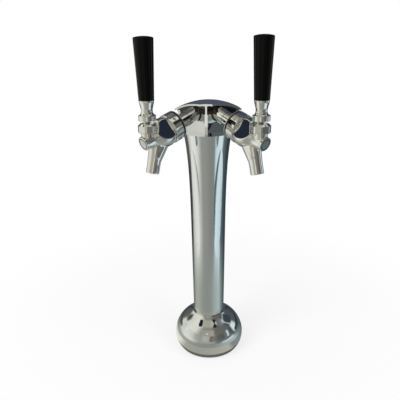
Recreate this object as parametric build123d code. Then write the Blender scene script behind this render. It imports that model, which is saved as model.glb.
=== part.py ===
from build123d import *
import math
import os

# Two-tap beer tower. Millimetres, +Z up, front towards -Y, origin at the bottom centre of the foot.
# A tap is modelled in its own upright plane: local +X runs outwards from the column axis.

# Foot
gasketThickness = 2.0
gasketOuterRadius = 61.0
gasketInnerRadius = 38.0
footBottomRadius = 63.5
footBulgeRadius = 70.5
footBulgeHeight = 28.0
footTopRadius = 33.2
footTopHeight = 78.0
footWall = 5.0
footRimRise = 9.0
footRimInset = 2.4
footShoulderRise = 18.0
footShoulderInset = 5.0
footSlopeOut = 18.5
footSlopeDrop = 14.0
footCollarOut = 4.5
footCollarDrop = 4.2
webThickness = 6.0
webTopHeight = 60.0
linePassageRadius = 17.0
footBoltCircleRadius = 51.0
footBossRadius = 10.0
footBossHeight = 26.0
footBoltHoleRadius = 4.25
footBoltHoleDepth = 18.0
footFixingStart = 45.0

# Column and head
columnBottomRadius = 30.8
columnTaper = 4.2
columnTaperPower = 0.8
headFlare = 25.0
headFlarePower = 7.0
columnWall = 4.5
lipDrop = 46.07393
faceDistance = 27.0
bossDepth = 10.0
ridgeFlat = 5.0
tapAzimuth = 45.0
scoopAzimuth = 38.0
scoopAxisDistance = 60.0
scoopLowHeight = 205.0
scoopMiddleHeight = 341.0
scoopHighHeight = 428.0
scoopDepth = 2.6
scoopRoll = 2.0
spigotWall = 4.0
spigotFlangeThickness = 6.0
clampScrewCircleRadius = 22.5
clampScrewRadius = 2.0
clampScrewHeadRadius = 3.5
clampScrewHeadHeight = 3.5
clampScrewGrip = 5.0
clampScrewSocketRadius = 1.6
clampScrewSocketDepth = 2.0

# Top cap
capArchRadius = 122.0
capCamberRadius = 300.0
capHeadRoom = 3.29113
capThickness = 3.0
capPlanRadius = 62.0
capVisorDistance = 34.0
capFrontSetback = 37.0
capEdgeRound = 0.8
capSkirtDepth = 18.0
capSkirtWall = 3.5
capSkirtStart = 19.0
capScrewRadius = 1.5
capScrewHeadRadius = 2.8
capScrewHeadHeight = 1.6
capScrewSink = 0.4
capScrewLength = 6.5
capScrewSlotWidth = 0.7
capScrewSlotDepth = 0.6
capScrewDrop = 12.5
capScrewAzimuth = 35.0

# Tap placing: the shank slopes down from the head to the tap
shankTilt = 19.0
leverReach = 128.0
shaftHeight = 453.0

# Shank line, lengths measured along the shank from the lever axis, outwards positive
shankRadius = 11.25
shankBoreRadius = 5.0
snoutWall = 1.45
snoutSplit = -83.0
snoutEdge = 0.4
snoutSeatRun = 20.0
shankFlangeRadius = 19.0
shankFlangeThickness = 4.0
shankInnerReach = 18.6
gasketWidthInner = 9.0
gasketWidthOuter = 18.5
couplingGasketThickness = 2.0
nutRadius = 25.0
nutLipThickness = 3.3
nutThreadRadius = 20.0
nutFrontStation = -41.6
bellRearStation = -48.0
spannerHoleRadius = 2.6
spannerHoleDepth = 3.2
spannerHoleCount = 4
nutChamfer = 1.0

# Hose elbow
elbowReach = 9.3
elbowBallRadius = 6.0
elbowBoreRadius = 2.6
elbowSpigotLength = 9.0
barbRadius = 3.9
barbRidge = 0.7
barbLength = 24.0
barbCount = 3
barbStart = 3.0

# Faucet body
bellRadius = 24.0
bellShoulderStation = -41.2
bellFrontStation = -26.0
bellEdgeRound = 1.2
bellEdgeRun = 3.0
neckDownStation = -17.0
neckDownRadius = 20.5
waistStation = -8.0
waistRadius = 15.0
capBossRadius = 12.0
capBossRun = 8.0
capBossStation = 8.0
sidePanelDistance = 17.5
sidePanelFront = -12.0
sidePanelLift = 30.0
spotFaceClearance = 0.6
seatStation = -37.5
seatBoreRadius = 5.6
washerChamberRadius = 8.6
flowChamberRadius = 7.0
flowChamberRear = -31.0
flowChamberFront = -14.0
plungerRadius = 4.4
capSpigotBore = 7.0
capSpigotRear = 4.0
spoutMouthSetback = 4.3
spoutMouthDrop = 55.2
spoutRootStation = -21.0
spoutMouthRadius = 11.2
spoutRootRadius = 13.8
spoutWall = 2.2
spoutStraight = 16.0
gussetSetback = 27.0
gussetDrop = 2.0
gussetRearRadius = 14.0
gussetFrontRadius = 12.4
gussetLanding = 37.5
neckWall = 2.2
neckRise = 7.0

# Lever, its ball and its seals
ballRadius = 8.0
ballSeatRoom = 0.47865
ballCavityGap = 1.3
ballWasherEdge = 0.1
ballWasherInner = 7.1
ballWasherThickness = 1.5
ballWasherGap = 0.24924
leverPassageGap = 0.0866
leverStemRadius = 3.5
leverTailRadius = 2.0
leverTipRadius = 2.4
leverStemRise = 41.0

# Bonnet and handle, each piece stacked on the one below
bonnetWall = 3.7
bonnetHeight = 14.8
bonnetChamfer = 3.0
bonnetEdge = 0.6
bonnetSides = 8
bonnetThroatInset = 0.7
bonnetMouthRadius = 10.7
collarRadius = 14.2
collarGap = 4.0
collarThickness = 9.2
collarRound = 1.2
ferruleFootRadius = 12.4
ferruleWaistRadius = 9.8
ferruleTopRadius = 12.1
ferruleWaistRise = 3.6
ferruleLength = 22.7
ferruleTangRadius = 5.0
ferruleTangLength = 28.0
gripBottomRadius = 12.4
gripTopRadius = 15.8
gripLength = 95.3
gripDome = 3.0
gripEdgeRound = 1.6

# Shaft and cap
shaftStemRadius = 2.5
shaftFront = 3.0
shaftShoulder = -12.5
seatWasherRadius = 7.6
seatWasherThickness = 3.5
shaftFlangeThickness = 2.0
shaftFlangeStep = 2.5
tipSlotFloor = 3.5
tipSlotHalfLength = 2.9
tipSlotHalfWidth = 2.8
tipReliefStart = 1.0
tipReliefLength = 5.2
capDiscRadius = 12.0
capDiscThickness = 3.6
capGrooveInner = 8.2
capGrooveOuter = 9.6
capGrooveDepth = 1.0
capSealInner = 9.2
capSealOuter = 10.8
capSealThickness = 1.2

# Clearances
fitClearance = 0.05
freeClearance = 0.3
headClearance = 0.2

tiltCos = math.cos(math.radians(shankTilt))
tiltSin = math.sin(math.radians(shankTilt))
snoutRadius = shankRadius + snoutWall
crossingHeight = shaftHeight + leverReach * tiltSin / tiltCos
lipHeight = crossingHeight - lipDrop
snoutTopHeight = crossingHeight + (snoutRadius - faceDistance * tiltSin) / tiltCos
capApexHeight = snoutTopHeight + capHeadRoom + capThickness
columnTopHeight = capApexHeight
spoutMouthReach = leverReach - spoutMouthSetback
spoutMouthHeight = shaftHeight - spoutMouthDrop
gussetReach = leverReach - gussetSetback
gussetHeight = shaftHeight - gussetDrop
ballCavityRadius = ballRadius + ballCavityGap
ballWasherOuter = ballCavityRadius - ballWasherEdge
ballWasherOffset = math.sqrt((ballRadius + ballWasherGap) ** 2 - ballWasherInner ** 2)
ballWasherReach = ballWasherOffset + ballWasherThickness
shaftTopAtWasher = shaftHeight + (plungerRadius + ballWasherOuter * tiltSin) / tiltCos
ballHeight = shaftTopAtWasher + ballSeatRoom + ballWasherReach
leverPassageRadius = math.sqrt(ballRadius ** 2 - ballWasherReach ** 2) + leverPassageGap
leverTopHeight = ballHeight + leverStemRise
neckRadius = ballCavityRadius + neckWall
neckTopHeight = ballHeight + neckRise
bonnetRadius = neckRadius + bonnetWall
bonnetBottomHeight = ballHeight
bonnetTopHeight = bonnetBottomHeight + bonnetHeight
bonnetThroatRadius = ballRadius - bonnetThroatInset
collarBottomHeight = bonnetTopHeight + collarGap
collarTopHeight = collarBottomHeight + collarThickness
ferruleWaistHeight = collarTopHeight + ferruleWaistRise
ferruleTopHeight = collarTopHeight + ferruleLength
gripTopHeight = ferruleTopHeight + gripLength
shankFlangeFront = bellRearStation - couplingGasketThickness
shankFlangeRear = shankFlangeFront - shankFlangeThickness
nutRearStation = shankFlangeRear - freeClearance - nutLipThickness
parts = {}


def alongShank(station):
    """Plane square to the shank, at a distance outwards along it from the lever axis."""
    place = (leverReach + station * tiltCos, 0, shaftHeight - station * tiltSin)
    return Plane(origin=place, x_dir=(0, 1, 0), z_dir=(tiltCos, 0, -tiltSin))


def stationAtReach(reach):
    return (reach - leverReach) / tiltCos


def rod(plane, radius, length):
    return plane * Cylinder(radius, length, align=(Align.CENTER, Align.CENTER, Align.MIN))


def tube(plane, outer, inner, length):
    return rod(plane, outer, length) - rod(plane, inner, length)


def cone(plane, bottom, top, length):
    return plane * Cone(bottom, top, length, align=(Align.CENTER, Align.CENTER, Align.MIN))


def atHeight(height, reach=0.0):
    return Plane(origin=(reach, 0, height))


def turned(points, curved, reach=0.0):
    """Solid of revolution about an upright axis; the outline is a spline between the first and last point."""
    bottomHeight = points[0][1]
    topHeight = points[-1][1]
    at = [(radius, 0, height) for radius, height in points]
    side = Spline(*at) if curved else Polyline(*at)
    closing = Polyline(at[-1], (0, 0, topHeight), (0, 0, bottomHeight), at[0])
    face = make_face(side.edges() + closing.edges())
    return Pos(reach, 0, 0) * revolve(face, Axis.Z)


def columnRadius(height):
    share = (height - footTopHeight) / (columnTopHeight - footTopHeight)
    return columnBottomRadius + columnTaper * share ** columnTaperPower + headFlare * share ** headFlarePower


def columnSolid(inset, bottomHeight):
    steps = 12
    rise = columnTopHeight - bottomHeight
    heights = [bottomHeight + rise * step / steps for step in range(steps + 1)]
    return turned([(columnRadius(max(height, footTopHeight)) - inset, height) for height in heights], True)


def archSolid(inset):
    """Everything below the arched and cambered top, lowered by the inset."""
    arch = capArchRadius - inset
    half = 0.75 * arch
    edgeDrop = arch - math.sqrt(arch ** 2 - half ** 2)
    top = capApexHeight - inset
    low = capApexHeight - capCamberRadius
    crown = ThreePointArc((-half, 0, top - edgeDrop), (0, 0, top), (half, 0, top - edgeDrop))
    sides = Polyline((half, 0, top - edgeDrop), (half, 0, low), (-half, 0, low), (-half, 0, top - edgeDrop))
    face = make_face(crown.edges() + sides.edges())
    return revolve(face, Axis((0, 0, low), (1, 0, 0)))


def frontWedge(distance, low, high):
    """Block in front of both tap faces, which stand at the distance from the column axis."""
    block = 200.0
    wedge = None
    for side in (-1, 1):
        angle = -90 + side * tapAzimuth
        slab = Rot(0, 0, angle) * Pos(distance, 0, low) * Box(
            block, 2 * block, high - low, align=(Align.MIN, Align.CENTER, Align.MIN))
        wedge = slab if wedge is None else wedge + slab
    return wedge


def scoop(side):
    """Long spindle that cuts a shallow hollow into the front of the column."""
    heights = [scoopLowHeight + (scoopHighHeight - scoopLowHeight) * step / 6 for step in range(-1, 8)]
    middle = scoopMiddleHeight
    outline = []
    for height in heights:
        half = (scoopHighHeight - middle) if height > middle else (middle - scoopLowHeight)
        depth = scoopDepth * (1 - ((height - middle) / half) ** 2)
        outline.append((scoopAxisDistance - columnRadius(height) + depth, height))
    angle = math.radians(-90 + side * scoopAzimuth)
    outwards = (math.cos(angle), math.sin(angle), 0)
    place = (scoopAxisDistance * outwards[0], scoopAxisDistance * outwards[1], 0)
    spindle = Pos(*place) * turned(outline, True)
    return spindle.rotate(Axis((place[0], place[1], middle), outwards), -side * scoopRoll)


def placeTap(shape, side):
    return Rot(0, 0, -90 + side * tapAzimuth) * shape


def around(shape, count, start=0.0):
    return [Rot(0, 0, start + 360 * index / count) * shape for index in range(count)]


def columnSpigotRadius():
    return columnBottomRadius - spigotWall


def buildColumn():
    outer = columnSolid(0, footTopHeight) & archSolid(capThickness)
    outer -= frontWedge(faceDistance, lipHeight, columnTopHeight + 50)
    ridgeSetback = faceDistance / math.cos(math.radians(tapAzimuth)) - ridgeFlat / 2
    outer -= Pos(0, -ridgeSetback, lipHeight) * Box(
        40, 100, 200, align=(Align.CENTER, Align.MAX, Align.MIN))
    outer -= scoop(-1)
    outer -= scoop(1)
    spigotBottom = webTopHeight
    outer += rod(atHeight(spigotBottom), columnSpigotRadius(), footTopHeight - spigotBottom + 1)
    cavity = columnSolid(columnWall, footTopHeight)
    cavity -= frontWedge(faceDistance - bossDepth, lipHeight - columnWall, columnTopHeight + 50)
    outer -= cavity
    flangeTop = spigotBottom + spigotFlangeThickness
    outer -= rod(atHeight(flangeTop), columnSpigotRadius() - spigotWall, footTopHeight + 1 - flangeTop)
    outer -= rod(atHeight(spigotBottom - 1), linePassageRadius, 10 + spigotFlangeThickness)
    screwHole = rod(atHeight(spigotBottom - 1, clampScrewCircleRadius), clampScrewRadius + fitClearance,
                    clampScrewGrip + 1.5)
    for hole in around(screwHole, 4, footFixingStart):
        outer -= hole
    for side in (-1, 1):
        screw = capScrewPlane(side)
        hole = rod(screw.offset(-8), capScrewHeadRadius + headClearance, 8 + capScrewHeadHeight)
        outer -= hole + rod(screw, capScrewRadius + fitClearance, 20)
    for side in (-1, 1):
        station = stationAtReach(0)
        outer -= placeTap(rod(alongShank(station), shankRadius + fitClearance, 90), side)
    return outer


def capScrewHeight():
    return capApexHeight - capThickness - capScrewDrop


def capScrewPlane(side):
    """Radial plane of a cap screw at the back, pointing inwards, its head seat sunk in the head."""
    angle = math.radians(90 + side * capScrewAzimuth)
    reach = columnRadius(capScrewHeight()) - capScrewSink
    place = (reach * math.cos(angle), reach * math.sin(angle), capScrewHeight())
    return Plane(origin=place, x_dir=(0, 0, 1), z_dir=(-math.cos(angle), -math.sin(angle), 0))


def buildTopCap():
    lid = rod(atHeight(capApexHeight - 60), capPlanRadius, 100) & archSolid(0)
    lid -= frontWedge(capVisorDistance, 0, 2 * capApexHeight)
    lid -= Pos(0, -capFrontSetback, 0) * Box(300, 200, 2000, align=(Align.CENTER, Align.MAX, Align.CENTER))
    lid -= archSolid(capThickness)
    lid = fillet(lid.edges().filter_by(lambda edge: edge.length > 60).group_by(Axis.Z)[-1], capEdgeRound)
    skirtBottom = capApexHeight - capThickness - capSkirtDepth
    skirtRadius = columnRadius(skirtBottom) - columnWall - freeClearance
    skirt = tube(atHeight(skirtBottom), skirtRadius, skirtRadius - capSkirtWall, 60)
    skirt &= archSolid(capThickness - 1)
    skirt &= Pos(0, capSkirtStart, 0) * Box(300, 200, 2000, align=(Align.CENTER, Align.MIN, Align.CENTER))
    lid += skirt
    for side in (-1, 1):
        lid -= rod(capScrewPlane(side), capScrewRadius + fitClearance, 30)
    return lid


def capScrew(side):
    plane = capScrewPlane(side)
    head = rod(plane, capScrewHeadRadius, capScrewHeadHeight)
    seat = plane.offset(capScrewHeadHeight)
    shank = rod(seat, capScrewRadius, capScrewLength)
    slot = plane * Box(2 * capScrewHeadRadius, capScrewSlotWidth, 2 * capScrewSlotDepth)
    return head + shank - slot


def footProfile(inset):
    bottom = gasketThickness
    return [
        (footBottomRadius - inset, bottom),
        (footBulgeRadius - footRimInset - inset, bottom + footRimRise),
        (footBulgeRadius - inset, footBulgeHeight),
        (footBulgeRadius - footShoulderInset - inset, footBulgeHeight + footShoulderRise),
        (footTopRadius + footSlopeOut - inset, footTopHeight - footSlopeDrop),
        (footTopRadius + footCollarOut - inset, footTopHeight - footCollarDrop),
        (footTopRadius - inset, footTopHeight),
    ]


def buildFoot():
    outer = turned(footProfile(0), True)
    webBottom = webTopHeight - webThickness
    inner = turned(footProfile(footWall), True) & Pos(0, 0, webBottom) * Box(
        300, 300, 300, align=(Align.CENTER, Align.CENTER, Align.MAX))
    outer -= inner
    outer -= rod(atHeight(webTopHeight), columnSpigotRadius() + fitClearance, footTopHeight)
    outer -= rod(atHeight(webBottom - 1), linePassageRadius, webThickness + 2)
    boss = rod(atHeight(gasketThickness, footBoltCircleRadius), footBossRadius, footBossHeight)
    for piece in around(boss, 4, footFixingStart):
        outer += piece
    hole = rod(atHeight(gasketThickness - 1, footBoltCircleRadius), footBoltHoleRadius, footBoltHoleDepth + 1)
    for piece in around(hole, 4, footFixingStart):
        outer -= piece
    screwHole = rod(atHeight(webBottom - 1, clampScrewCircleRadius), clampScrewRadius + headClearance,
                    webThickness + 2)
    for piece in around(screwHole, 4, footFixingStart):
        outer -= piece
    return outer


def buildBaseGasket():
    ring = tube(atHeight(0), gasketOuterRadius, gasketInnerRadius, gasketThickness)
    hole = rod(atHeight(-1, footBoltCircleRadius), footBoltHoleRadius, gasketThickness + 2)
    for piece in around(hole, 4, footFixingStart):
        ring -= piece
    return ring


def clampScrew():
    plane = atHeight(webTopHeight - webThickness, clampScrewCircleRadius)
    head = rod(plane.offset(-clampScrewHeadHeight), clampScrewHeadRadius, clampScrewHeadHeight)
    socket = rod(plane.offset(-clampScrewHeadHeight), clampScrewSocketRadius, clampScrewSocketDepth)
    return head + rod(plane, clampScrewRadius, webThickness + clampScrewGrip) - socket


def buildSnout():
    """Inner spacer sleeve, mitred to seat on the upright tap face."""
    start = stationAtReach(faceDistance) - snoutSeatRun
    sleeve = tube(alongShank(start), snoutRadius, shankRadius + fitClearance, snoutSplit - start)
    sleeve = chamfer(sleeve.edges().group_by(Axis.X)[-1].sort_by(SortBy.LENGTH)[-1], snoutEdge)
    sleeve &= Pos(faceDistance, 0, 0) * Box(300, 300, 2000, align=(Align.MIN, Align.CENTER, Align.CENTER))
    return sleeve


def buildShankSleeve():
    length = shankFlangeRear - snoutSplit
    return tube(alongShank(snoutSplit), snoutRadius, shankRadius + fitClearance, length)


def buildShank():
    start = stationAtReach(shankInnerReach)
    shank = rod(alongShank(start), shankRadius, shankFlangeFront - start)
    shank += rod(alongShank(shankFlangeRear), shankFlangeRadius, shankFlangeThickness)
    shank -= rod(alongShank(start - 1), shankBoreRadius, 200)
    return shank


def buildElbow():
    start = stationAtReach(shankInnerReach)
    centre = stationAtReach(elbowReach)
    place = alongShank(centre).origin
    ball = Pos(*place) * Sphere(elbowBallRadius)
    spigot = rod(alongShank(centre), shankBoreRadius - fitClearance, start + elbowSpigotLength - centre)
    down = Plane(origin=place, z_dir=(0, 0, -1))
    stem = rod(down, barbRadius, barbLength)
    elbow = ball + spigot + stem
    pitch = (barbLength - elbowBallRadius - barbStart) / barbCount
    for index in range(barbCount):
        drop = elbowBallRadius + barbStart + index * pitch
        elbow += cone(down.offset(drop), barbRadius + barbRidge, barbRadius, pitch * 0.8)
    elbow -= rod(down.offset(-1.0), elbowBoreRadius, barbLength + 5)
    elbow -= rod(alongShank(centre), elbowBoreRadius, 60)
    return elbow


def buildCouplingGasket():
    return tube(alongShank(shankFlangeFront), gasketWidthOuter, gasketWidthInner, couplingGasketThickness)


def buildNut():
    length = nutFrontStation - nutRearStation
    nut = rod(alongShank(nutRearStation), nutRadius, length)
    nut = chamfer(nut.edges().filter_by(GeomType.CIRCLE), nutChamfer)
    nut -= rod(alongShank(nutRearStation - 1), snoutRadius + freeClearance, 20)
    nut -= rod(alongShank(nutRearStation + nutLipThickness), nutThreadRadius + fitClearance, 40)
    plane = alongShank(nutRearStation + length / 2)
    for index in range(spannerHoleCount):
        angle = 360 * index / spannerHoleCount + 45
        hole = Pos(nutRadius - spannerHoleDepth, 0, 0) * Rot(0, 90, 0) * Cylinder(
            spannerHoleRadius, 20, align=(Align.CENTER, Align.CENTER, Align.MIN))
        nut -= plane * Rot(0, 0, angle) * hole
    return nut


def spoutLine():
    """Root point, unit direction and length of the spout in the tap's own plane."""
    root = alongShank(spoutRootStation).origin
    mouth = Vector(spoutMouthReach, 0, spoutMouthHeight)
    along = mouth - root
    return root, along.normalized(), along.length


def turnedAlongShank(outline):
    """Solid of revolution about the shank line, from pairs of station and radius."""
    points = [(radius, 0, station) for station, radius in outline]
    side = Spline(*points)
    closing = Polyline(points[-1], (0, 0, points[-1][2]), (0, 0, points[0][2]), points[0])
    solid = revolve(make_face(side.edges() + closing.edges()), Axis.Z)
    return alongShank(0) * solid


def buildFaucetBody():
    bell = turnedAlongShank([
        (bellShoulderStation, bellRadius - bellEdgeRound),
        (bellShoulderStation + bellEdgeRun, bellRadius),
        (bellFrontStation, bellRadius),
        (neckDownStation, neckDownRadius),
        (waistStation, waistRadius),
        (capBossStation - capBossRun, capBossRadius + 0.6),
        (capBossStation, capBossRadius),
    ])
    root, along, length = spoutLine()
    spoutPlane = Plane(origin=root, x_dir=(0, 1, 0), z_dir=along)
    taperLength = length - spoutStraight
    for turn in (sidePanelLift, 180 - sidePanelLift):
        bell -= alongShank(bellShoulderStation - 1) * Rot(0, 0, turn) * Pos(sidePanelDistance, 0, 0) * Box(
            50, 100, sidePanelFront - bellShoulderStation, align=(Align.MIN, Align.CENTER, Align.MIN))
    bell += cone(spoutPlane, spoutRootRadius, spoutMouthRadius, taperLength)
    bell += rod(spoutPlane.offset(taperLength), spoutMouthRadius, spoutStraight)
    gussetRoot = Vector(gussetReach, 0, gussetHeight)
    gussetRun = root + along * gussetLanding - gussetRoot
    gussetPlane = Plane(origin=gussetRoot, x_dir=(0, 1, 0), z_dir=gussetRun.normalized())
    bell += cone(gussetPlane, gussetRearRadius, gussetFrontRadius, gussetRun.length)
    spotFace = bonnetRadius / math.cos(math.pi / bonnetSides) + spotFaceClearance
    bell -= rod(atHeight(bonnetBottomHeight - spotFaceClearance, leverReach), spotFace, 60)
    body = bell + rod(atHeight(shaftHeight, leverReach), neckRadius, neckTopHeight - shaftHeight)
    body -= rod(alongShank(capBossStation), capDiscRadius + freeClearance, 30)
    body += rod(alongShank(bellRearStation), nutThreadRadius, bellShoulderStation - bellRearStation + 1)
    # Bores: washer chamber, seat, flow chamber, plunger guide, cap spigot, lever passage, ball cavity, spout
    body -= rod(alongShank(bellRearStation - 1), washerChamberRadius, seatStation - bellRearStation + 1)
    body -= rod(alongShank(seatStation - 1), seatBoreRadius, flowChamberRear - seatStation + 2)
    body -= rod(alongShank(flowChamberRear), flowChamberRadius, flowChamberFront - flowChamberRear)
    body -= rod(alongShank(flowChamberFront - 1), plungerRadius + fitClearance, 30)
    body -= rod(alongShank(capSpigotRear), capSpigotBore, 20)
    body -= rod(atHeight(shaftHeight, leverReach), leverPassageRadius, ballHeight - shaftHeight)
    cavityBottom = ballHeight - ballWasherOffset - ballWasherThickness
    body -= rod(atHeight(cavityBottom, leverReach), ballCavityRadius, 40)
    mouthBore = spoutMouthRadius - spoutWall
    body -= cone(spoutPlane, flowChamberRadius - 0.5, mouthBore, taperLength)
    body -= rod(spoutPlane.offset(taperLength), mouthBore, spoutStraight + 1)
    return body


def buildFrontCap():
    disc = rod(alongShank(capBossStation), capDiscRadius, capDiscThickness)
    disc = chamfer(disc.edges().filter_by(GeomType.CIRCLE).sort_by(Axis.X)[-1], 0.8)
    spigotRear = capSpigotRear + freeClearance
    disc += rod(alongShank(spigotRear), capSpigotBore - fitClearance, capBossStation - spigotRear)
    face = capBossStation + capDiscThickness
    disc -= tube(alongShank(face - capGrooveDepth), capGrooveOuter, capGrooveInner, 5)
    disc -= tube(alongShank(capBossStation - 1), capSealOuter, capSealInner, 1 + capSealThickness)
    return disc


def buildCapSeal():
    inner = capSealInner + fitClearance
    outer = capSealOuter - fitClearance
    return tube(alongShank(capBossStation), outer, inner, capSealThickness - fitClearance)


def buildShaft():
    shaft = rod(alongShank(shaftShoulder), plungerRadius, shaftFront - shaftShoulder)
    washerRear = seatStation - seatWasherThickness
    flangeRear = washerRear - shaftFlangeThickness
    shaft += rod(alongShank(flangeRear), shaftStemRadius, shaftShoulder - flangeRear)
    shaft += rod(alongShank(flangeRear), shaftStemRadius + shaftFlangeStep, shaftFlangeThickness)
    plane = alongShank(0)
    slot = Box(20, 2 * tipSlotHalfWidth, 2 * tipSlotHalfLength, align=(Align.MAX, Align.CENTER, Align.CENTER))
    slotPlane = Plane(origin=plane.origin, x_dir=(-tiltSin, 0, -tiltCos), z_dir=(tiltCos, 0, -tiltSin))
    shaft -= slotPlane * Pos(tipSlotFloor, 0, 0) * slot
    relief = Box(20, 2 * tipSlotHalfWidth, tipReliefLength, align=(Align.MAX, Align.CENTER, Align.MAX))
    shaft -= slotPlane * Pos(-tipReliefStart, 0, 0) * relief
    return shaft


def buildSeatWasher():
    station = seatStation - seatWasherThickness
    return tube(alongShank(station), seatWasherRadius, shaftStemRadius + fitClearance,
                seatWasherThickness - fitClearance)


def buildLever():
    ball = Pos(leverReach, 0, ballHeight) * Sphere(ballRadius)
    stem = rod(atHeight(ballHeight, leverReach), leverStemRadius, leverTopHeight - ballHeight)
    tail = rod(atHeight(shaftHeight, leverReach), leverTailRadius, ballHeight - shaftHeight)
    tip = Pos(leverReach, 0, shaftHeight) * Sphere(leverTipRadius)
    return ball + stem + tail + tip


def ballWasher(bottom):
    return tube(atHeight(bottom, leverReach), ballWasherOuter, ballWasherInner, ballWasherThickness)


def buildBonnet():
    height = bonnetTopHeight - bonnetBottomHeight
    prism = extrude(atHeight(bonnetBottomHeight, leverReach) * RegularPolygon(
        bonnetRadius / math.cos(math.pi / bonnetSides), bonnetSides), height)
    limit = turned([
        (bonnetRadius - bonnetEdge, bonnetBottomHeight),
        (bonnetRadius + bonnetEdge, bonnetBottomHeight + 2 * bonnetEdge),
        (bonnetRadius + bonnetEdge, bonnetTopHeight - bonnetChamfer - bonnetEdge),
        (bonnetRadius - bonnetChamfer, bonnetTopHeight),
    ], False, leverReach)
    bonnet = prism & limit
    washerTop = ballHeight + ballWasherOffset + ballWasherThickness
    neckRoom = neckTopHeight + freeClearance
    bonnet -= tube(atHeight(bonnetBottomHeight - 1, leverReach), neckRadius + fitClearance,
                   ballWasherOuter, neckRoom - bonnetBottomHeight + 1)
    bonnet -= rod(atHeight(bonnetBottomHeight - 1, leverReach), ballCavityRadius,
                  washerTop - bonnetBottomHeight + 1)
    bonnet -= cone(atHeight(washerTop - 0.1, leverReach), bonnetThroatRadius, bonnetMouthRadius,
                   bonnetTopHeight - washerTop + 0.2)
    return bonnet


def buildCollar():
    height = collarTopHeight - collarBottomHeight
    collar = rod(atHeight(collarBottomHeight, leverReach), collarRadius, height)
    collar = fillet(collar.edges().filter_by(GeomType.CIRCLE), collarRound)
    collar -= rod(atHeight(collarBottomHeight - 1, leverReach), leverStemRadius + fitClearance, 30)
    return collar


def buildFerrule():
    outline = [
        (ferruleFootRadius, collarTopHeight),
        (ferruleWaistRadius, ferruleWaistHeight),
        (ferruleWaistRadius + 0.5, (ferruleWaistHeight + ferruleTopHeight) / 2),
        (ferruleTopRadius, ferruleTopHeight),
    ]
    ferrule = turned(outline, True, leverReach)
    ferrule += rod(atHeight(ferruleTopHeight - 1, leverReach), ferruleTangRadius, ferruleTangLength + 1)
    depth = leverTopHeight + 1 - collarTopHeight
    ferrule -= rod(atHeight(collarTopHeight - 1, leverReach), leverStemRadius + fitClearance, depth + 1)
    return ferrule


def buildGrip():
    shoulder = gripTopHeight - gripDome
    outline = [
        (gripBottomRadius, ferruleTopHeight),
        (gripTopRadius, shoulder),
        (gripTopRadius - gripEdgeRound, shoulder + 0.8 * gripEdgeRound),
        (gripTopRadius * 0.5, gripTopHeight - 0.5),
        (0.6, gripTopHeight),
    ]
    grip = turned(outline, False, leverReach)
    grip -= rod(atHeight(ferruleTopHeight - 1, leverReach), ferruleTangRadius + fitClearance,
                ferruleTangLength + 1.5)
    return grip


def tapPieces():
    lower = ballHeight - ballWasherOffset - ballWasherThickness
    return {
        "snout": buildSnout(),
        "shank_sleeve": buildShankSleeve(),
        "shank": buildShank(),
        "hose_elbow": buildElbow(),
        "coupling_gasket": buildCouplingGasket(),
        "coupling_nut": buildNut(),
        "faucet_body": buildFaucetBody(),
        "front_cap": buildFrontCap(),
        "cap_seal": buildCapSeal(),
        "faucet_shaft": buildShaft(),
        "seat_washer": buildSeatWasher(),
        "lever": buildLever(),
        "ball_washer": ballWasher(lower),
        "friction_washer": ballWasher(ballHeight + ballWasherOffset),
        "bonnet": buildBonnet(),
        "lever_collar": buildCollar(),
        "handle_ferrule": buildFerrule(),
        "handle_grip": buildGrip(),
    }


parts["tower_column"] = buildColumn()
parts["top_cap"] = buildTopCap()
parts["cap_screws"] = Compound(children=[capScrew(side) for side in (-1, 1)])
parts["base_foot"] = buildFoot()
parts["base_gasket"] = buildBaseGasket()
parts["clamp_screws"] = Compound(children=around(clampScrew(), 4, footFixingStart))
for name, piece in tapPieces().items():
    for sideName, side in (("left", -1), ("right", 1)):
        parts[f"{sideName}_{name}"] = placeTap(piece, side)

os.makedirs("parts", exist_ok=True)
for name, shape in parts.items():
    export_step(shape, f"parts/{name}.step")
    print(name, round(shape.volume), "mm3")
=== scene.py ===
import bmesh
import bpy
import math
from mathutils import Matrix, Vector


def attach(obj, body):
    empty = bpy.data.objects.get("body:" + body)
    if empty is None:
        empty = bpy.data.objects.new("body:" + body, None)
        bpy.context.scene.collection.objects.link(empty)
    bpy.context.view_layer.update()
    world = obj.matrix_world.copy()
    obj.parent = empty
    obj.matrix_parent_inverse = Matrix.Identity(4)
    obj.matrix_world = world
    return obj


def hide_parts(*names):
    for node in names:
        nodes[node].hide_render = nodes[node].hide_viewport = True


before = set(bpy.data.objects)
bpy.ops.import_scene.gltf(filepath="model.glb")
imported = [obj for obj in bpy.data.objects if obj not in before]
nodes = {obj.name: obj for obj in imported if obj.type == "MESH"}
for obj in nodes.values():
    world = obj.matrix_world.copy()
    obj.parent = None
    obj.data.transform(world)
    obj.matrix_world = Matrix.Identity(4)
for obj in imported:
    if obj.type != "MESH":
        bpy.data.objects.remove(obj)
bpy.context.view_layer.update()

# Two-tap beer tower. Metres, +Z up, front towards -Y, origin under the middle of the foot.
# The CAD nodes keep their shapes where those are right; the pieces below stand for the rest.

bpy.ops.object.select_all(action="DESELECT")


def linear(hexColour):
    channels = [int(hexColour[i:i + 2], 16) / 255 for i in (1, 3, 5)]
    return tuple(c / 12.92 if c <= 0.04045 else ((c + 0.055) / 1.055) ** 2.4 for c in channels) + (1.0,)


def addNode(material, kind, settings=None, links=None):
    # a whole number names a socket by its place, for sockets that share a name
    node = material.node_tree.nodes.new(kind)
    for name, value in (settings or {}).items():
        if isinstance(name, int) or name in node.inputs:
            node.inputs[name].default_value = value
        else:
            setattr(node, name, value)
    for name, source in (links or {}).items():
        material.node_tree.links.new(source, node.inputs[name])
    return node


def newMaterial(name):
    material = bpy.data.materials.new(name)
    material.use_nodes = True
    material.node_tree.nodes.clear()
    return material


def finishMaterial(material, shader):
    addNode(material, "ShaderNodeOutputMaterial", {}, {"Surface": shader.outputs[0]})
    return material


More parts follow.
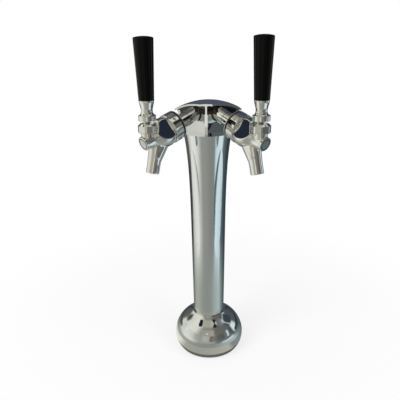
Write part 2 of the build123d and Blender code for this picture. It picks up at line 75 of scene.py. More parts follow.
def coordinates(material):
    return addNode(material, "ShaderNodeTexCoord").outputs["Object"]


# places of the two colour inputs and the colour output on a colour mix
mixInputs = (6, 7)
mixOutput = 2


print("materials")

plating = {"mirrorRoughness": 0.035, "buffingStretch": (14.0, 14.0, 3.5), "buffingDepth": 0.004}


def plated(name, wave, haze, colour):
    # bright plate over polished metal: a mirror with faint long waves of the buffing wheel and a few
    # hazy patches
    material = newMaterial(name)
    place = coordinates(material)
    long = addNode(material, "ShaderNodeMapping", {"Scale": plating["buffingStretch"]}, {"Vector": place})
    buffing = addNode(material, "ShaderNodeTexNoise", {"Scale": 1.6, "Detail": 1.5},
                      {"Vector": long.outputs[0]})
    smear = addNode(material, "ShaderNodeTexNoise", {"Scale": 70.0, "Detail": 3.0}, {"Vector": place})
    rough = addNode(material, "ShaderNodeMapRange",
                    {"From Min": 0.35, "From Max": 0.75,
                     "To Min": plating["mirrorRoughness"], "To Max": haze},
                    {"Value": smear.outputs["Fac"]})
    bump = addNode(material, "ShaderNodeBump", {"Strength": wave, "Distance": plating["buffingDepth"]},
                   {"Height": buffing.outputs["Fac"]})
    shader = addNode(material, "ShaderNodeBsdfPrincipled", {"Base Color": linear(colour), "Metallic": 1.0},
                     {"Roughness": rough.outputs[0], "Normal": bump.outputs[0]})
    return finishMaterial(material, shader)


# column, hood and foot: a cool mirror, a little wavy as castings are
castChrome = plated("chromeOverPolishedZinc", 0.10, 0.10, "#dfe2e2")
# hood shade plates: painted shade, a smoky brown-black metal that stands for the shade under the hood
paintedHoodShade = plated("smokedNickelInTheHoodsShade", 0.10, 0.16, "#4c4640")
# taps: a flatter and slightly warmer mirror than the castings
tapChrome = plated("chromeOverBrass", 0.04, 0.08, "#e6e6e3")


def turnedSteel():
    # stainless steel, turned: fine rings and a soft broad gleam
    material = newMaterial("turnedStainlessSteel")
    place = coordinates(material)
    rings = addNode(material, "ShaderNodeTexNoise", {"Scale": 900.0, "Detail": 2.0}, {"Vector": place})
    rough = addNode(material, "ShaderNodeMapRange", {"To Min": 0.16, "To Max": 0.34},
                    {"Value": rings.outputs["Fac"]})
    bump = addNode(material, "ShaderNodeBump", {"Strength": 0.08, "Distance": 0.0003},
                   {"Height": rings.outputs["Fac"]})
    shader = addNode(material, "ShaderNodeBsdfPrincipled", {"Base Color": linear("#c3c4c3"), "Metallic": 1.0},
                     {"Roughness": rough.outputs[0], "Normal": bump.outputs[0]})
    return finishMaterial(material, shader)


def machinedBrass():
    # plain brass, machined and a little dulled: warm yellow with browner patches
    material = newMaterial("machinedBrass")
    place = coordinates(material)
    patches = addNode(material, "ShaderNodeTexNoise", {"Scale": 60.0, "Detail": 4.0}, {"Vector": place})
    mix = addNode(material, "ShaderNodeMix",
                  {"data_type": "RGBA", mixInputs[0]: linear("#c9a553"), mixInputs[1]: linear("#a07a35")},
                  {"Factor": patches.outputs["Fac"]})
    rough = addNode(material, "ShaderNodeMapRange", {"To Min": 0.2, "To Max": 0.42},
                    {"Value": patches.outputs["Fac"]})
    shader = addNode(material, "ShaderNodeBsdfPrincipled", {"Metallic": 1.0},
                     {"Base Color": mix.outputs[mixOutput], "Roughness": rough.outputs[0]})
    return finishMaterial(material, shader)


def blackRubber():
    # moulded nitrile rubber: matt near-black with a fine dusty grain
    material = newMaterial("mouldedBlackRubber")
    place = coordinates(material)
    grain = addNode(material, "ShaderNodeTexNoise", {"Scale": 700.0, "Detail": 3.0}, {"Vector": place})
    mix = addNode(material, "ShaderNodeMix",
                  {"data_type": "RGBA", mixInputs[0]: linear("#151515"), mixInputs[1]: linear("#2a2a29")},
                  {"Factor": grain.outputs["Fac"]})
    bump = addNode(material, "ShaderNodeBump", {"Strength": 0.2, "Distance": 0.0002},
                   {"Height": grain.outputs["Fac"]})
    shader = addNode(material, "ShaderNodeBsdfPrincipled", {"Roughness": 0.72},
                     {"Base Color": mix.outputs[mixOutput], "Normal": bump.outputs[0]})
    return finishMaterial(material, shader)


def whiteNylon():
    # natural nylon washer: milky, slightly waxy
    material = newMaterial("naturalNylon")
    place = coordinates(material)
    cloud = addNode(material, "ShaderNodeTexNoise", {"Scale": 240.0, "Detail": 2.0}, {"Vector": place})
    mix = addNode(material, "ShaderNodeMix",
                  {"data_type": "RGBA", mixInputs[0]: linear("#e4e0d4"), mixInputs[1]: linear("#d2ccbc")},
                  {"Factor": cloud.outputs["Fac"]})
    shader = addNode(material, "ShaderNodeBsdfPrincipled", {"Roughness": 0.38, "Subsurface Weight": 0.15},
                     {"Base Color": mix.outputs[mixOutput]})
    return finishMaterial(material, shader)


def blackPhenolic():
    # compression-moulded phenolic: deep gloss black, faint orange peel and fine polishing marks
    material = newMaterial("mouldedBlackPhenolic")
    place = coordinates(material)
    peel = addNode(material, "ShaderNodeTexNoise", {"Scale": 260.0, "Detail": 2.0}, {"Vector": place})
    marks = addNode(material, "ShaderNodeTexNoise", {"Scale": 1500.0, "Detail": 2.0}, {"Vector": place})
    rough = addNode(material, "ShaderNodeMapRange", {"To Min": 0.10, "To Max": 0.18},
                    {"Value": marks.outputs["Fac"]})
    bump = addNode(material, "ShaderNodeBump", {"Strength": 0.05, "Distance": 0.0004},
                   {"Height": peel.outputs["Fac"]})
    mix = addNode(material, "ShaderNodeMix",
                  {"data_type": "RGBA", mixInputs[0]: linear("#030303"), mixInputs[1]: linear("#070708")},
                  {"Factor": peel.outputs["Fac"]})
    shader = addNode(material, "ShaderNodeBsdfPrincipled", {"IOR": 1.5, "Specular IOR Level": 0.12},
                     {"Base Color": mix.outputs[mixOutput], "Roughness": rough.outputs[0],
                      "Normal": bump.outputs[0]})
    return finishMaterial(material, shader)


steel = turnedSteel()
brass = machinedBrass()
rubber = blackRubber()
nylon = whiteNylon()
phenolic = blackPhenolic()

finishes = {
    "tower_column": castChrome, "top_cap": castChrome, "base_foot": castChrome,
    "cap_screws": steel, "clamp_screws": steel, "base_gasket": rubber,
    "snout": tapChrome, "shank_sleeve": tapChrome, "shank": brass, "hose_elbow": brass,
    "coupling_gasket": rubber, "coupling_nut": tapChrome, "faucet_body": tapChrome,
    "front_cap": tapChrome, "cap_seal": rubber, "faucet_shaft": steel, "seat_washer": rubber,
    "lever": steel, "ball_washer": rubber, "friction_washer": nylon, "bonnet": tapChrome,
    "lever_collar": tapChrome, "handle_ferrule": tapChrome, "handle_grip": phenolic,
}
for name, node in nodes.items():
    finish = finishes[name.replace("left_", "").replace("right_", "")]
    node.data.materials.clear()
    node.data.materials.append(finish)

print("head flare")

headFlare = {"lowHeight": 0.464, "rimRadius": 0.0612, "swell": 0.62, "rows": 9, "turns": 144,
             "gap": 0.0003, "leastWall": 0.0002, "archRadius": 0.122, "camberRadius": 0.300,
             "underApex": 0.5045, "tapFace": 0.0266, "tapTurn": 45.0, "creaseAngle": 35.0,
             "edgeMargin": 0.01, "seamGap": 0.001, "cutGap": 0.00001}
sides = (("left", -1), ("right", 1))
column = {"bottomRadius": 0.0308, "bottom": 0.078, "top": 0.5075, "taper": 0.0042, "taperPower": 0.8,
          "flare": 0.025, "flarePower": 7.0}


def columnRadius(height):
    share = (height - column["bottom"]) / (column["top"] - column["bottom"])
    return (column["bottomRadius"] + column["taper"] * share ** column["taperPower"]
            + column["flare"] * share ** column["flarePower"])


def tapDirection(side):
    # level direction of a tap from the column's axis
    turn = math.radians(-90 + side * headFlare["tapTurn"])
    return (math.cos(turn), math.sin(turn), 0)


def underHood(x, y):
    # height of the arched and cambered underside of the hood
    arch = headFlare["archRadius"] - math.sqrt(headFlare["archRadius"] ** 2 - x ** 2)
    camber = headFlare["camberRadius"] - math.sqrt(headFlare["camberRadius"] ** 2 - y ** 2)
    return headFlare["underApex"] - arch - camber - headFlare["gap"]


# a strip from the column's skin out to the rim, spun round the tower, then fitted under the hood
bpy.ops.mesh.primitive_plane_add(size=1.0, location=(1.5, 0, 0.5), rotation=(math.pi / 2, 0, 0))
flare = bpy.context.object
flare.name = "headFlare"
bpy.ops.object.transform_apply(location=True, rotation=True, scale=True)
bpy.ops.object.mode_set(mode="EDIT")
bpy.ops.mesh.select_mode(type="VERT")
bpy.ops.mesh.select_all(action="SELECT")
bpy.ops.mesh.subdivide(number_cuts=headFlare["rows"])
bpy.ops.mesh.delete(type="ONLY_FACE")
mesh = bmesh.from_edit_mesh(flare.data)
margin = headFlare["edgeMargin"]
for edge in list(mesh.edges):
    middle = (edge.verts[0].co + edge.verts[1].co) / 2
    if 1 + margin < middle.x < 2 - margin and margin < middle.z < 1 - margin:
        mesh.edges.remove(edge)
for vert in list(mesh.verts):
    if not vert.link_edges:
        mesh.verts.remove(vert)
bmesh.update_edit_mesh(flare.data)
bpy.ops.mesh.select_all(action="SELECT")
bpy.ops.mesh.spin(steps=headFlare["turns"], angle=2 * math.pi, center=(0, 0, 0), axis=(0, 0, 1))
bpy.ops.mesh.select_all(action="SELECT")
bpy.ops.mesh.remove_doubles(threshold=headFlare["seamGap"])
mesh = bmesh.from_edit_mesh(flare.data)
for vert in mesh.verts:
    reach = math.hypot(vert.co.x, vert.co.y)
    turn = math.atan2(vert.co.y, vert.co.x)
    rise, out = vert.co.z, reach - 1.0
    outer = columnRadius(headFlare["lowHeight"]) + headFlare["gap"]
    outer += (headFlare["rimRadius"] - outer) * rise ** headFlare["swell"]
    top = underHood(outer * math.cos(turn), outer * math.sin(turn))
    height = headFlare["lowHeight"] + (top - headFlare["lowHeight"]) * rise
    inner = columnRadius(height) + headFlare["gap"]
    outer = max(outer, inner + headFlare["leastWall"])
    radius = inner + (outer - inner) * out
    vert.co = (radius * math.cos(turn), radius * math.sin(turn), height)
bmesh.update_edit_mesh(flare.data)
bpy.ops.mesh.select_all(action="SELECT")
bpy.ops.mesh.normals_make_consistent(inside=False)
for _, side in sides:
    facing = tapDirection(side)
    bpy.ops.mesh.select_all(action="SELECT")
    bpy.ops.mesh.bisect(plane_co=[headFlare["tapFace"] * c for c in facing], plane_no=facing,
                        use_fill=True, clear_outer=True, threshold=headFlare["cutGap"])
bpy.ops.object.mode_set(mode="OBJECT")
bpy.ops.object.shade_smooth_by_angle(angle=math.radians(headFlare["creaseAngle"]))
flare.data.materials.append(castChrome)
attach(flare, "tower")
bpy.ops.object.select_all(action="DESELECT")

print("tap castings")

casting = {"mergeGap": 0.00001, "voxel": 0.0006, "smoothShare": 0.5, "smoothPasses": 16}


def castingFrom(node, name):
    # the machined shape, softened as a sand casting that was polished before plating
    piece = bpy.data.objects.new(name, node.data.copy())
    bpy.context.collection.objects.link(piece)
    piece.select_set(True)
    bpy.context.view_layer.objects.active = piece
    bpy.ops.object.mode_set(mode="EDIT")
    bpy.ops.mesh.select_all(action="SELECT")
    bpy.ops.mesh.remove_doubles(threshold=casting["mergeGap"])
    bpy.ops.object.mode_set(mode="OBJECT")
    remesh = piece.modifiers.new("evenSkin", "REMESH")
    remesh.mode = "VOXEL"
    remesh.voxel_size = casting["voxel"]
    remesh.use_smooth_shade = True
    bpy.ops.object.modifier_apply(modifier="evenSkin")
    polish = piece.modifiers.new("polish", "SMOOTH")
    polish.factor = casting["smoothShare"]
    polish.iterations = casting["smoothPasses"]
    bpy.ops.object.modifier_apply(modifier="polish")
    bpy.ops.object.shade_smooth()
    piece.data.materials.clear()
    piece.data.materials.append(tapChrome)
    bpy.ops.object.select_all(action="DESELECT")
    return piece


leftCasting = castingFrom(nodes["left_faucet_body"], "leftTapCasting")
rightCasting = bpy.data.objects.new("rightTapCasting", leftCasting.data.copy())
bpy.context.collection.objects.link(rightCasting)
rightCasting.data.transform(Matrix.Rotation(math.radians(90), 4, "Z"))
for piece, node in ((leftCasting, "left_faucet_body"), (rightCasting, "right_faucet_body")):
    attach(piece, "tower")
    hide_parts(node)
    print(piece.name, len(piece.data.polygons), "faces")

print("seals")

shankLine = {"reach": 0.128, "height": 0.453, "slope": 19.0}
# station is measured along the shank line, outwards from the point under the lever's ball
seals = {
    "nutBand": {"station": -0.0590, "radius": 0.0240, "width": 0.0028, "thickness": 0.0014,
                "finish": rubber},
    "nutTrim": {"station": -0.0610, "radius": 0.0243, "width": 0.0012, "thickness": 0.0012,
                "finish": tapChrome},
    "sleeveSeam": {"station": -0.083, "radius": 0.01275, "width": 0.0008, "thickness": 0.0003,
                   "finish": rubber},
    "capRing": {"station": 0.0117, "radius": 0.0090, "width": 0.0003, "thickness": 0.0012,
                "finish": rubber},
}
# a rubber seal round each sleeve at the tap face; its black ring also paints the shade in the hole round the
# sleeve
sealAndHoleShade = {"reach": 0.0274, "gap": 0.0007, "sleeve": 0.0127, "width": 0.0010, "thickness": 0.0013}
ringForm = {"vertices": 72, "rimShare": 0.3, "rimSteps": 2, "creaseAngle": 40.0}


def sealRing(name, centre, facing, radius, stretch, width, thickness, finish):
    # an open tube given a wall and rounded rims, laid square to its axis
    bpy.ops.mesh.primitive_cylinder_add(vertices=ringForm["vertices"], radius=radius, depth=width,
                                        end_fill_type="NOTHING")
    ring = bpy.context.object
    ring.name = name
    ring.scale = (stretch, 1, 1)
    bpy.ops.object.transform_apply(location=False, rotation=False, scale=True)
    ring.rotation_euler = facing.to_track_quat("Z", "Y").to_euler()
    ring.location = centre
    bpy.ops.object.transform_apply(location=True, rotation=True, scale=True)
    wall = ring.modifiers.new("wall", "SOLIDIFY")
    wall.thickness = thickness
    wall.offset = 0
    bpy.ops.object.modifier_apply(modifier="wall")
    rim = ring.modifiers.new("rim", "BEVEL")
    rim.width = min(width, thickness) * ringForm["rimShare"]
    rim.segments = ringForm["rimSteps"]
    bpy.ops.object.modifier_apply(modifier="rim")
    bpy.ops.object.shade_smooth_by_angle(angle=math.radians(ringForm["creaseAngle"]))
    ring.data.materials.append(finish)
    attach(ring, "tower")
    bpy.ops.object.select_all(action="DESELECT")


slope = math.radians(shankLine["slope"])
for sideName, side in sides:
    outwards = Vector(tapDirection(side))
    along = outwards * math.cos(slope) - Vector((0, 0, math.sin(slope)))
    underBall = outwards * shankLine["reach"] + Vector((0, 0, shankLine["height"]))
    for name, size in seals.items():
        sealRing(f"{sideName}_{name}", underBall + along * size["station"], along, size["radius"], 1.0,
                 size["width"], size["thickness"], size["finish"])
    # partly painted shade: the black ring stands for the seal and for the shade in the hole round the sleeve
    back = (sealAndHoleShade["reach"] - shankLine["reach"]) / math.cos(slope)
    across = sealAndHoleShade["sleeve"] + sealAndHoleShade["gap"]
    upright = sealAndHoleShade["sleeve"] / math.cos(slope) + sealAndHoleShade["gap"]
    sealRing(f"{sideName}_sealAndHoleShade", underBall + along * back, outwards, across, upright / across,
             sealAndHoleShade["width"], sealAndHoleShade["thickness"], rubber)

# painted shade: dark plates under the hood, beside each sleeve, stand for the hood's shade
print("hood liners")

shadePlate = {"reach": 0.0272, "lift": 0.0005, "thickness": 0.0004, "bottom": 0.4745, "roof": 0.0009,
         "edge": 0.0007, "sleeveGap": 0.0019, "innerSide": 0.0252, "columns": 18, "rows": 14,
         "firstGuess": 0.03, "passes": 3, "creaseAngle": 35.0}


def hoodShadePlate(name, way, outwards, outer):
    # a shaped plate of painted shade: dark metal that closes the top of a tap face, beside its sleeve and
    # under the hood, standing for the shade the hood casts there
    bpy.ops.mesh.primitive_grid_add(x_subdivisions=shadePlate["columns"], y_subdivisions=shadePlate["rows"],
                                    size=1)
    plate = bpy.context.object
    plate.name = name
    bpy.ops.object.mode_set(mode="EDIT")
    mesh = bmesh.from_edit_mesh(plate.data)
    reach = shadePlate["reach"] + shadePlate["lift"]
    sideways = Vector((-outwards.y, outwards.x, 0))
    axisHeight = shankLine["height"] + (shankLine["reach"] - reach) * math.tan(slope)
    upright = sealAndHoleShade["sleeve"] / math.cos(slope)
    bottom = shadePlate["bottom"] if outer else axisHeight
    for vert in mesh.verts:
        share, rise = vert.co.x + 0.5, vert.co.y + 0.5
        spot = outwards * reach + sideways * way * shadePlate["firstGuess"]
        top = underHood(spot.x, spot.y) - shadePlate["roof"]
        # the roof's height depends on the reach across, and the reach on the height
        for _ in range(shadePlate["passes"]):
            height = bottom + rise * (top - bottom)
            near = math.sqrt(max(0.0, 1 - ((height - axisHeight) / upright) ** 2)) * sealAndHoleShade["sleeve"]
            near = near + shadePlate["sleeveGap"]
            far = shadePlate["innerSide"]
            if outer:
                far = math.sqrt((columnRadius(height) - shadePlate["edge"]) ** 2 - reach ** 2)
            across = near + share * (far - near)
            spot = outwards * reach + sideways * way * across
            top = underHood(spot.x, spot.y) - shadePlate["roof"]
        vert.co = (spot.x, spot.y, height)
    bmesh.update_edit_mesh(plate.data)
    bpy.ops.mesh.select_all(action="SELECT")
    bpy.ops.mesh.normals_make_consistent(inside=False)
    bpy.ops.object.mode_set(mode="OBJECT")
    wall = plate.modifiers.new("wall", "SOLIDIFY")
    wall.thickness = shadePlate["thickness"]
    wall.offset = 0
    bpy.ops.object.modifier_apply(modifier="wall")
    bpy.ops.object.shade_smooth_by_angle(angle=math.radians(shadePlate["creaseAngle"]))
    plate.data.materials.append(paintedHoodShade)
    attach(plate, "tower")
    bpy.ops.object.select_all(action="DESELECT")


for sideName, side in sides:
    outwards = Vector(tapDirection(side))
    hoodShadePlate(f"{sideName}_outerHoodShadePlate", side, outwards, True)
    hoodShadePlate(f"{sideName}_innerHoodShadePlate", -side, outwards, False)

print("stage")

room = {"floorSize": 12.0, "floorDrop": 0.0004, "nearGlow": 0.72, "fadeStart": 0.12, "fadeEnd": 0.75,
        "skyFill": 0.55}


def floorMaterial():
    # pale sweep: white to the eye and to the metal, still darker where the tower keeps light off it
    material = newMaterial("paperSweep")
    path = addNode(material, "ShaderNodeLightPath")
    glossy = addNode(material, "ShaderNodeMath", {"operation": "MAXIMUM"},
                     {0: path.outputs["Is Glossy Ray"], 1: path.outputs["Is Transmission Ray"]})
    seen = addNode(material, "ShaderNodeMath", {"operation": "MAXIMUM"},
                   {0: path.outputs["Is Camera Ray"], 1: glossy.outputs[0]})
    fibre = addNode(material, "ShaderNodeTexNoise", {"Scale": 30.0, "Detail": 3.0},
                    {"Vector": coordinates(material)})
    mix = addNode(material, "ShaderNodeMix",
                  {"data_type": "RGBA", mixInputs[0]: linear("#f4f4f4"), mixInputs[1]: linear("#f8f8f8")},
                  {"Factor": fibre.outputs["Fac"]})
    paper = addNode(material, "ShaderNodeBsdfDiffuse", {}, {"Color": mix.outputs[mixOutput]})
    glow = addNode(material, "ShaderNodeEmission", {"Color": (1, 1, 1, 1), "Strength": 1.0})
    reach = addNode(material, "ShaderNodeVectorMath", {"operation": "LENGTH"},
                    {"Vector": coordinates(material)})
    fade = addNode(material, "ShaderNodeMapRange",
                   {"interpolation_type": "SMOOTHSTEP", "From Min": room["fadeStart"],
                    "From Max": room["fadeEnd"], "To Min": room["nearGlow"], "To Max": 1.0},
                   {"Value": reach.outputs["Value"]})
    share = addNode(material, "ShaderNodeMath", {"operation": "MULTIPLY"},
                    {0: seen.outputs[0], 1: fade.outputs[0]})
    blend = addNode(material, "ShaderNodeMixShader", {},
                    {"Fac": share.outputs[0], 1: paper.outputs[0], 2: glow.outputs[0]})
    return finishMaterial(material, blend)


bpy.ops.mesh.primitive_plane_add(size=room["floorSize"], location=(0, 0, -room["floorDrop"]))
floor = bpy.context.object
floor.name = "floor"
floor.data.materials.append(floorMaterial())
bpy.ops.object.select_all(action="DESELECT")

world = bpy.data.worlds.new("studio")
bpy.context.scene.world = world
world.use_nodes = True
world.node_tree.nodes.clear()
path = addNode(world, "ShaderNodeLightPath")
seen = addNode(world, "ShaderNodeMath", {"operation": "MAXIMUM"},
               {0: path.outputs["Is Camera Ray"], 1: path.outputs["Is Glossy Ray"]})
through = addNode(world, "ShaderNodeMath", {"operation": "MAXIMUM"},
                  {0: seen.outputs[0], 1: path.outputs["Is Transmission Ray"]})
fill = addNode(world, "ShaderNodeMapRange", {"To Min": room["skyFill"], "To Max": 1.0},
               {"Value": through.outputs[0]})
back = addNode(world, "ShaderNodeBackground", {"Color": (1, 1, 1, 1)}, {"Strength": fill.outputs[0]})
addNode(world, "ShaderNodeOutputWorld", {}, {"Surface": back.outputs[0]})

# Room round the tower that only the metal sees. Turns are degrees round from the front, left is minus.
roomTones = {
    "domeRadius": 1.25, "discRadius": 1.2499, "discHeight": 0.0009, "wobble": 0.014, "wobbleScale": 2.4,
    "low": [(-180, "#4e5358"), (-130, "#5c5c56"), (-113, "#605e55"), (-106, "#e2e2d8"), (-74, "#f3f2e6"),
            (-52, "#e6e4d8"), (-40, "#c6c4b8"), (-29, "#b0afa5"), (4, "#aeada4"), (22, "#aaa79d"),
            (31, "#7c7872"), (60, "#777873"), (84, "#7a8183"), (94, "#4c5356"), (100, "#dfe8e7"),
            (106, "#3c4347"),
            (130, "#353a3d"), (180, "#4e5358")],
    "belt": [(-180, "#4a5058"), (-150, "#56595c"), (-128, "#6b6c66"), (-118, "#e6e8e0"), (-96, "#dedad6"),
             (-84, "#f4f4ea"), (-56, "#dfe0d8"), (-44, "#bcbcb0"), (-24, "#a9a89c"), (-13, "#c2c1b8"),
             (3, "#bab9b0"), (10, "#6f6c66"), (20, "#8d857c"), (34, "#6c6c68"), (52, "#5c6160"),
             (66, "#7a807c"), (72, "#eefafa"), (78, "#5f6668"), (92, "#4e575a"), (98, "#f8fffe"),
             (113, "#e2efec"),
             (122, "#5c6668"), (150, "#4d565c"), (180, "#4a5058")],
    "middle": [(-180, "#535868"), (-134, "#555553"), (-112, "#605e55"), (-105, "#ebe9de"), (-72, "#f6f4e8"),
               (-50, "#efeddf"), (-40, "#cfcdc0"), (-30, "#a8a89e"), (20, "#b2afa4"), (30, "#7a756e"),
               (60, "#70706a"), (86, "#686e70"), (98, "#4a5254"), (103, "#c8d4d6"), (108, "#424b50"),
               (140, "#424950"), (180, "#535868")],
    "high": [(-180, "#474d62"), (-116, "#605e55"), (-107, "#f4f2e6"), (-72, "#f6f4e8"), (-50, "#e9e7da"),
             (-38, "#bcbaae"), (-28, "#9a998f"), (18, "#98968c"), (30, "#7e7a72"), (60, "#6e6a64"),
             (92, "#84878a"), (103, "#d4e2e4"), (110, "#4a565a"), (140, "#3c4458"), (180, "#474d62")],
    "top": [(-180, "#52555c"), (-110, "#9c9a8e"), (-62, "#c0bdac"), (0, "#b4b19e"), (50, "#ccc9b6"),
            (64, "#f2eedb"), (84, "#9b9a92"), (120, "#5e6266"), (180, "#52555c")],
    "farFloor": [(-180, "#333c46"), (-130, "#363b40"), (-118, "#5e6163"), (-107, "#d2d1cc"), (-83, "#fbfbf5"),
                 (-60, "#f2f3ea"), (-45, "#d4d5ce"), (-29, "#a2a39e"), (-4, "#9c9d97"), (19, "#91928c"),
                 (38, "#8a9295"), (50, "#d8eef4"), (82, "#e8fbff"), (93, "#6a777a"), (126, "#3c4a54"),
                 (180, "#333c46")],
    "nearFloor": [(-180, "#52585c"), (-138, "#62656a"), (-118, "#8f9189"), (-100, "#b0b2a8"),
                  (-78, "#b8baaf"), (-40, "#a0a49c"), (-10, "#989c95"), (20, "#9ba09a"), (46, "#acb9b6"),
                  (80, "#bccbca"),
                  (98, "#8c9898"), (124, "#5c6566"), (180, "#52585c")],
    "atTheFoot": [(-180, "#4a4f50"), (-130, "#5c5c56"), (-116, "#e4e5de"), (-74, "#fbf9ec"), (-52, "#b8b6a8"),
                  (-21, "#aeaea4"), (1, "#b1b1a7"), (26, "#bbb7ad"), (50, "#c4c0b5"), (62, "#8f9292"),
                  (76, "#93989a"), (104, "#7e8888"), (128, "#555e5f"), (180, "#4a4f50")],
    "underTheRim": [(-180, "#3c4042"), (-90, "#6f706a"), (0, "#6f706a"), (90, "#5a5d5b"), (180, "#3c4042")],
}


def toneRamp(material, place, stops):
    ramp = addNode(material, "ShaderNodeValToRGB", {}, {"Fac": place})
    points = ramp.color_ramp.elements
    while len(points) < len(stops):
        points.new(0.5)
    for point, (turn, colour) in zip(points, stops):
        point.position = turn / 360 + 0.5
        point.color = linear(colour)
    return ramp.outputs["Color"]


def roomMaterial(name, measure, rings):
    # plain glowing room tones, blended from one ring of tones to the next
    material = newMaterial(name)
    place = coordinates(material)
    drift = addNode(material, "ShaderNodeTexNoise", {"Scale": roomTones["wobbleScale"], "Detail": 2.0},
                    {"Vector": place})
    axes = addNode(material, "ShaderNodeSeparateXYZ", {}, {"Vector": place})
    back = addNode(material, "ShaderNodeMath", {"operation": "MULTIPLY", 1: -1.0}, {0: axes.outputs["Y"]})
    turn = addNode(material, "ShaderNodeMath", {"operation": "ARCTAN2"},
                   {0: axes.outputs["X"], 1: back.outputs[0]})
    share = addNode(material, "ShaderNodeMapRange", {"From Min": -math.pi, "From Max": math.pi},
                    {"Value": turn.outputs[0]})
    wander = addNode(material, "ShaderNodeMapRange",
                     {"To Min": -roomTones["wobble"], "To Max": roomTones["wobble"]},
                     {"Value": drift.outputs["Fac"]})
    place = addNode(material, "ShaderNodeMath", {"operation": "ADD"},
                    {0: share.outputs[0], 1: wander.outputs[0]})
    if measure == "rise":
        unit = addNode(material, "ShaderNodeVectorMath", {"operation": "NORMALIZE"},
                       {"Vector": coordinates(material)})
        rise = addNode(material, "ShaderNodeSeparateXYZ", {}, {"Vector": unit.outputs["Vector"]}).outputs["Z"]
    else:
        rise = addNode(material, "ShaderNodeVectorMath", {"operation": "LENGTH"},
                       {"Vector": coordinates(material)}).outputs["Value"]
    tone = toneRamp(material, place.outputs[0], rings[0])
    for start, end, stops in rings[1:]:
        blend = addNode(material, "ShaderNodeMapRange",
                        {"interpolation_type": "SMOOTHSTEP", "From Min": start, "From Max": end},
                        {"Value": rise})
        mix = addNode(material, "ShaderNodeMix", {"data_type": "RGBA"},
                      {"Factor": blend.outputs[0], mixInputs[0]: tone,
                       mixInputs[1]: toneRamp(material, place.outputs[0], stops)})
        tone = mix.outputs[mixOutput]
    glow = addNode(material, "ShaderNodeEmission", {"Strength": 1.0}, {"Color": tone})
    return finishMaterial(material, glow)


def stageOnlyForMetal(thing):
    thing.visible_camera = False
    thing.visible_diffuse = False
    thing.visible_shadow = False
    bpy.ops.object.select_all(action="DESELECT")


bpy.ops.mesh.primitive_uv_sphere_add(segments=48, ring_count=24, radius=roomTones["domeRadius"],
                                     location=(0, 0, 0))
dome = bpy.context.object
dome.name = "roomDome"
dome.data.materials.append(roomMaterial("paintedRoom", "rise", [
    roomTones["low"], (0.12, 0.17, roomTones["belt"]), (0.44, 0.52, roomTones["middle"]),
    (0.77, 0.82, roomTones["high"]), (0.90, 0.95, roomTones["top"])]))
stageOnlyForMetal(dome)

bpy.ops.mesh.primitive_circle_add(vertices=64, radius=roomTones["discRadius"], fill_type="NGON",
                                  location=(0, 0, roomTones["discHeight"]))
disc = bpy.context.object
disc.name = "counterDisc"
disc.data.materials.append(roomMaterial("barCounter", "reach", [
    roomTones["underTheRim"], (0.0715, 0.0740, roomTones["atTheFoot"]), (0.125, 0.15, roomTones["nearFloor"]),
    (0.2, 0.6, roomTones["farFloor"])]))
stageOnlyForMetal(disc)

flags = {"size": 0.17, "tone": "#262c3a", "aim": (0.075, -0.085, 0.475),
         "spots": {"left": (-0.285, -0.172, 0.740), "right": (0.240, -0.226, 0.768)},
         "ridgeSpot": (-0.038, -0.53, 0.415), "ridgeAim": (0, -0.037, 0.485), "ridgeSize": 0.07,
         "ridgeTone": "#f4f4ee"}


def smallCard(name, spot, aim, size, finish):
    facing = (Vector(aim) - Vector(spot)).to_track_quat("Z", "Y").to_euler()
    bpy.ops.mesh.primitive_circle_add(vertices=24, radius=size / 2, fill_type="NGON", location=spot,
                                      rotation=facing)
    card = bpy.context.object
    card.name = name
    card.data.materials.append(finish)
    stageOnlyForMetal(card)


def plainGlow(name, colour):
    # studio cloth with an even tone and a faint weave, seen only in the metal
    material = newMaterial(name)
    weave = addNode(material, "ShaderNodeTexNoise", {"Scale": 9.0}, {"Vector": coordinates(material)})
    strength = addNode(material, "ShaderNodeMapRange", {"To Min": 0.8, "To Max": 1.2},
                       {"Value": weave.outputs["Fac"]})
    glow = addNode(material, "ShaderNodeEmission", {"Color": linear(colour)},
                   {"Strength": strength.outputs[0]})
    return finishMaterial(material, glow)


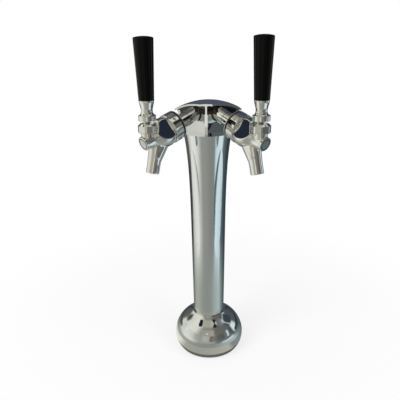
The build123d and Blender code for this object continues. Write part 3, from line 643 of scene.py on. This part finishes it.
flagCloth = plainGlow("navyFlagCloth", flags["tone"])
for sideName, side in sides:
    aim = (-side * flags["aim"][0], flags["aim"][1], flags["aim"][2])
    smallCard(f"{sideName}Flag", flags["spots"][sideName], aim, flags["size"], flagCloth)
smallCard("ridgeCard", flags["ridgeSpot"], flags["ridgeAim"], flags["ridgeSize"],
          plainGlow("paleCard", flags["ridgeTone"]))

print("light")

lampForm = {"stretch": 1.3, "aim": (0, 0, 0.3)}
lamps = {
    "keyBox": {"spot": (-1.3, -1.2, 1.7), "size": 1.1, "power": 26.0},
    "fillBox": {"spot": (1.5, -0.9, 1.4), "size": 1.2, "power": 14.0},
}
for name, box in lamps.items():
    bpy.ops.object.light_add(type="AREA", location=box["spot"])
    lamp = bpy.context.object
    lamp.name = name
    lamp.data.shape = "RECTANGLE"
    lamp.data.size = box["size"]
    lamp.data.size_y = box["size"] * lampForm["stretch"]
    lamp.data.energy = box["power"]
    lamp.visible_glossy = False
    aim = Vector(lampForm["aim"]) - Vector(box["spot"])
    lamp.rotation_euler = aim.to_track_quat("-Z", "Y").to_euler()
    bpy.ops.object.select_all(action="DESELECT")

print("camera")

view = {"place": (0.0509, -0.7598, 0.5933), "yaw": -5.0, "pitch": 19.74, "roll": -0.78, "lens": 37.9,
        "film": 36.0, "nearest": 0.01}
bpy.ops.object.camera_add(location=view["place"])
camera = bpy.context.object
camera.name = "camera"
yaw, pitch, roll = (math.radians(view[k]) for k in ("yaw", "pitch", "roll"))
forward = Vector((math.sin(yaw) * math.cos(pitch), math.cos(yaw) * math.cos(pitch), -math.sin(pitch)))
across = forward.cross(Vector((0, 0, 1))).normalized()
up = across.cross(forward)
turned = (across * math.cos(roll) + up * math.sin(roll),
          up * math.cos(roll) - across * math.sin(roll), -forward)
camera.matrix_world = Matrix.Translation(view["place"]) @ Matrix(turned).transposed().to_4x4()
camera.data.lens = view["lens"]
camera.data.sensor_width = view["film"]
camera.data.clip_start = view["nearest"]
bpy.context.scene.camera = camera
bpy.context.scene.view_settings.view_transform = "Standard"
bpy.ops.object.select_all(action="DESELECT")
